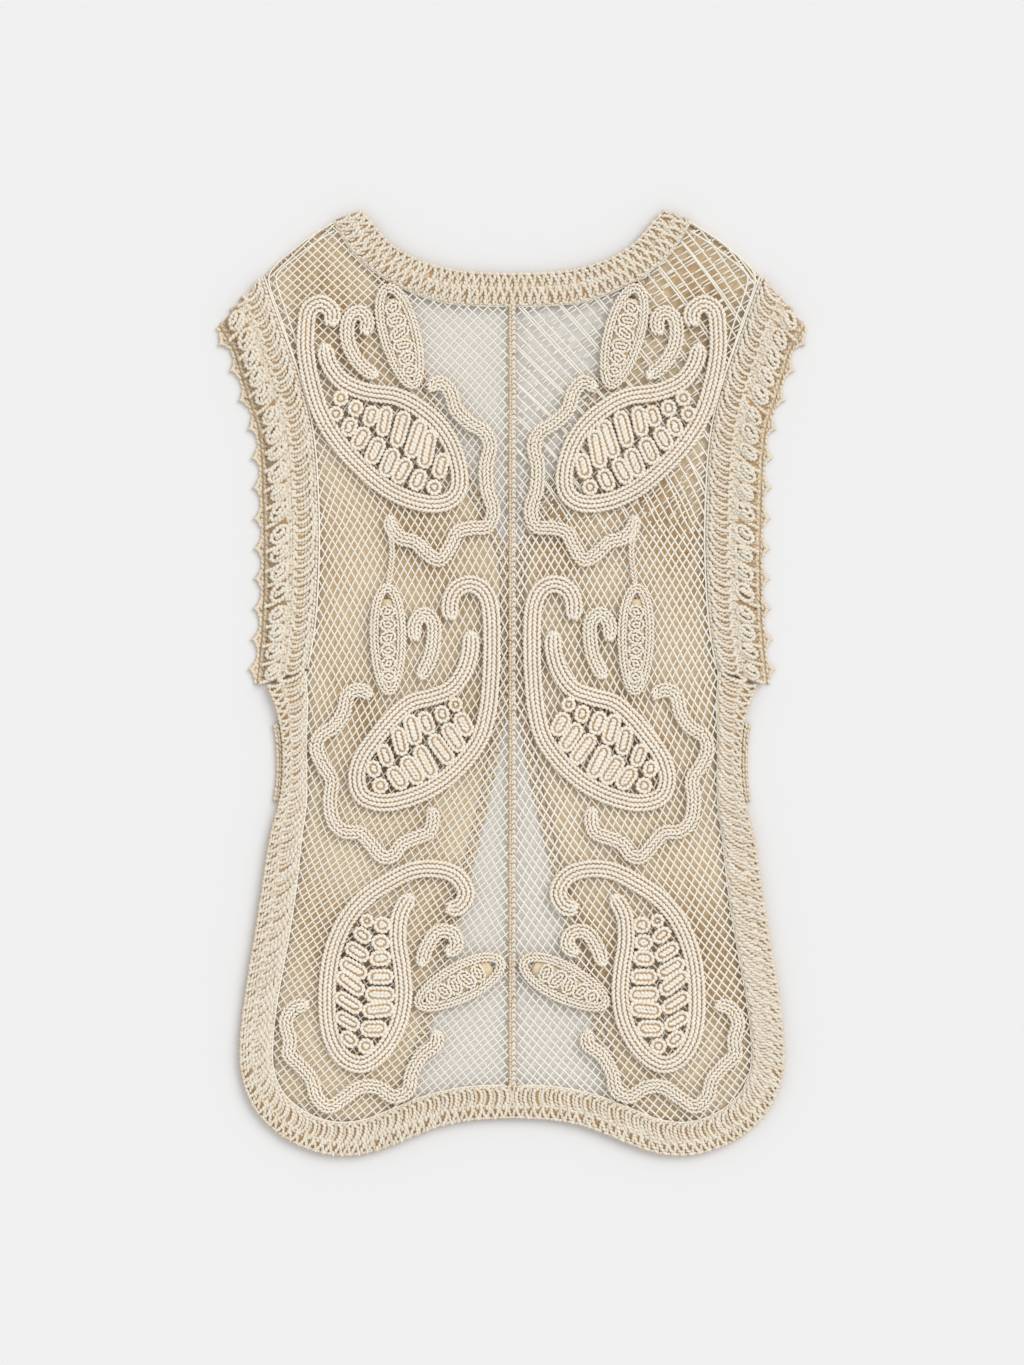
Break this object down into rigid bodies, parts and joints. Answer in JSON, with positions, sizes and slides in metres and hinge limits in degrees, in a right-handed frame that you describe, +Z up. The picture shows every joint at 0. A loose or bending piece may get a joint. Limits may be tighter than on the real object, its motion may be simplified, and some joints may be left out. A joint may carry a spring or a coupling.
{
  "type": "knit vest",
  "caption": "Open-fronted sleeveless vest of net and crochet bands with raised knit-tape motifs, lying flat with its back upward",
  "frame": {"origin": "On the surface under the middle of the garment's bounding box.", "axes": "+Z up out of the surface, towards the back of the vest; +Y from the hem to the neck; +X to the right as seen from above."},
  "size_m": [0.4996, 0.8034, 0.0097],
  "materials": {
    "back_net": "matte cotton net",
    "front_net": "matte cotton knit in shade",
    "band_yarn": "matte crochet cotton",
    "front_band_yarn": "matte crochet cotton",
    "tape_yarn": "matte knitted cotton tape"
  },
  "bodies": {
    "root": {"back_left": "back_net", "back_right": "back_net", "front_left": "front_net", "front_right": "front_net", "neck_band": "band_yarn", "centre_seam": "band_yarn", "arm_band_back_left": "band_yarn", "border_back_left": "band_yarn", "shoulder_seam_left": "band_yarn", "side_seam_left": "band_yarn", "arm_band_back_right": "band_yarn", "border_back_right": "band_yarn", "shoulder_seam_right": "band_yarn", "side_seam_right": "band_yarn", "arm_band_front_left": "front_band_yarn", "border_front_left": "front_band_yarn", "front_edge_left": "front_band_yarn", "arm_band_front_right": "front_band_yarn", "border_front_right": "front_band_yarn", "front_edge_right": "front_band_yarn", "pod_top_left": "tape_yarn", "filling_top_left": "tape_yarn", "scroll_top_left": "tape_yarn", "bud_top_left": "tape_yarn", "bud_filling_top_left": "tape_yarn", "scallop_top_left": "tape_yarn", "pod_top_right": "tape_yarn", "filling_top_right": "tape_yarn", "scroll_top_right": "tape_yarn", "bud_top_right": "tape_yarn", "bud_filling_top_right": "tape_yarn", "scallop_top_right": "tape_yarn", "pod_middle_left": "tape_yarn", "filling_middle_left": "tape_yarn", "scroll_middle_left": "tape_yarn", "bud_middle_left": "tape_yarn", "bud_filling_middle_left": "tape_yarn", "scallop_middle_left": "tape_yarn", "pod_middle_right": "tape_yarn", "filling_middle_right": "tape_yarn", "scroll_middle_right": "tape_yarn", "bud_middle_right": "tape_yarn", "bud_filling_middle_right": "tape_yarn", "scallop_middle_right": "tape_yarn", "pod_bottom_left": "tape_yarn", "filling_bottom_left": "tape_yarn", "scroll_bottom_left": "tape_yarn", "bud_bottom_left": "tape_yarn", "bud_filling_bottom_left": "tape_yarn", "scallop_bottom_left": "tape_yarn", "pod_bottom_right": "tape_yarn", "filling_bottom_right": "tape_yarn", "scroll_bottom_right": "tape_yarn", "bud_bottom_right": "tape_yarn", "bud_filling_bottom_right": "tape_yarn", "scallop_bottom_right": "tape_yarn"}
  },
  "joints": []
}
